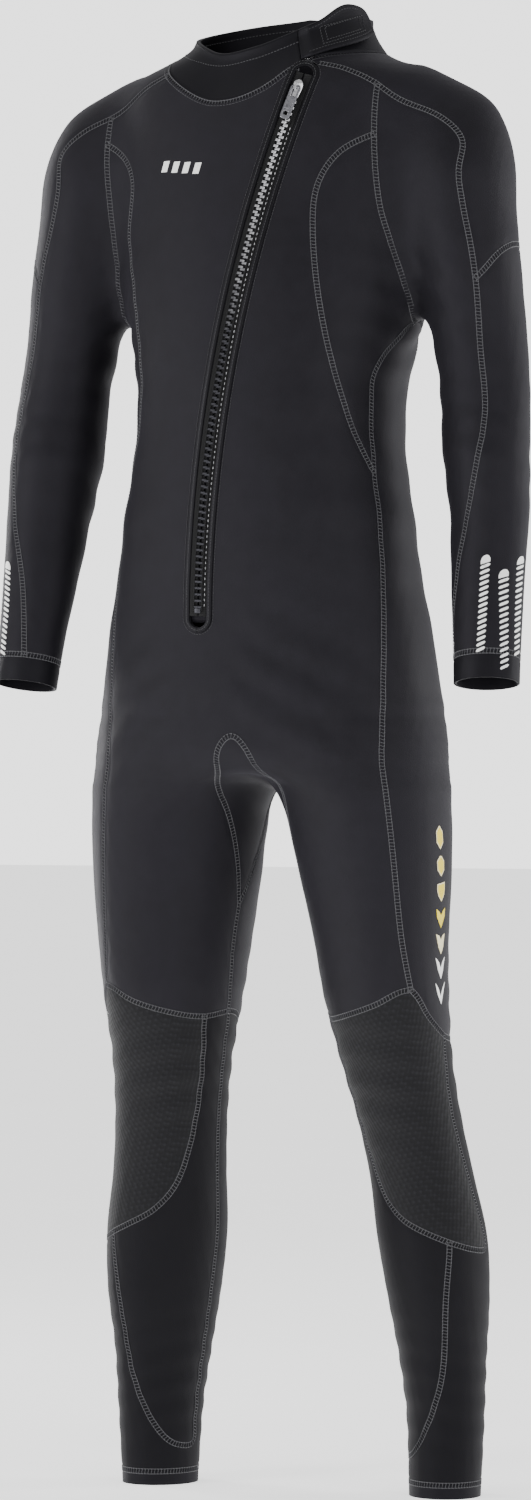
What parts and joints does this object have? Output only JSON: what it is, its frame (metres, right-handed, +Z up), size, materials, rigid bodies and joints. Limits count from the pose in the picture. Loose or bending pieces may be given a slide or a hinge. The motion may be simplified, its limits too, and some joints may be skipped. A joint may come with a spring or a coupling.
{
  "type": "full wetsuit",
  "caption": "Full-length neoprene wetsuit with a diagonal front zip, stand-up collar with a touch-fastener flap, knee panels and hemmed wrists and ankles.",
  "frame": {"origin": "on the ground plane midway between the two ankle hems, below the middle of the body", "axes": "+Z up the body, -Y is the front with the zip, +X is the wearer's left"},
  "size_m": [0.5584, 0.2539, 1.489],
  "materials": {
    "jersey_neoprene": "black knitted jersey on foamed neoprene, soft sheen",
    "lower_leg_neoprene": "deeper black jersey on foamed neoprene, matt",
    "knee_neoprene": "deep black abrasion-resistant knit, faint relief, matt",
    "collar_neoprene": "smooth deep black jersey, matt",
    "loop_fastener": "brushed loop pile",
    "hook_fastener": "moulded hooks",
    "zip_tape": "woven tape",
    "zip_border": "raised flat border, satin",
    "zip_metal": "plated teeth",
    "slider_metal": "polished plating",
    "puller_metal": "dark plating"
  },
  "bodies": {
    "suit": {"ankle_hem_left": "collar_neoprene", "ankle_hem_right": "collar_neoprene", "back_panel": "jersey_neoprene", "calf_panel_left": "lower_leg_neoprene", "calf_panel_right": "lower_leg_neoprene", "chest_side_panel_left": "jersey_neoprene", "chest_side_panel_right": "jersey_neoprene", "collar_band": "collar_neoprene", "crotch_gusset": "jersey_neoprene", "front_panel": "jersey_neoprene", "hamstring_panel_left": "jersey_neoprene", "hamstring_panel_right": "jersey_neoprene", "knee_panel_left": "knee_neoprene", "knee_panel_right": "knee_neoprene", "loop_patch": "loop_fastener", "seat_panel": "jersey_neoprene", "shin_panel_left": "lower_leg_neoprene", "shin_panel_right": "lower_leg_neoprene", "shoulder_panel_left": "jersey_neoprene", "shoulder_panel_right": "jersey_neoprene", "side_panel_left": "jersey_neoprene", "side_panel_right": "jersey_neoprene", "sleeve_inner_panel_left": "jersey_neoprene", "sleeve_inner_panel_right": "jersey_neoprene", "sleeve_outer_panel_left": "jersey_neoprene", "sleeve_outer_panel_right": "jersey_neoprene", "wrist_hem_left": "jersey_neoprene", "wrist_hem_right": "jersey_neoprene", "zip_backing_flap": "jersey_neoprene", "zip_border_left": "zip_border", "zip_border_right": "zip_border", "zip_bottom_stop": "zip_metal", "zip_tape_left": "zip_tape", "zip_tape_right": "zip_tape", "zip_teeth_left": "zip_metal", "zip_teeth_right": "zip_metal"},
    "zip_slider": {"zip_slider": "slider_metal"},
    "zip_puller": {"zip_puller": "puller_metal"},
    "collar_flap": {"collar_flap": "collar_neoprene", "hook_patch": "hook_fastener"}
  },
  "joints": [
    {"name": "zip_run", "type": "hinge", "parent": "suit", "child": "zip_slider", "pos_m": [0.72516, 0.93238, 0.93114], "axis": [0.8062, -0.5851, -0.0879], "range_deg": [0, 23]},
    {"name": "puller_swing", "type": "hinge", "parent": "zip_slider", "child": "zip_puller", "pos_m": [0.05458, -0.06818, 1.40183], "axis": [-0.9573, 0.0209, 0.2882], "range_deg": [0, 120]},
    {"name": "flap_peel", "type": "hinge", "parent": "suit", "child": "collar_flap", "pos_m": [0.04705, -0.03877, 1.4465], "axis": [0.2835, -0.4627, -0.84], "range_deg": [0, 100]}
  ]
}
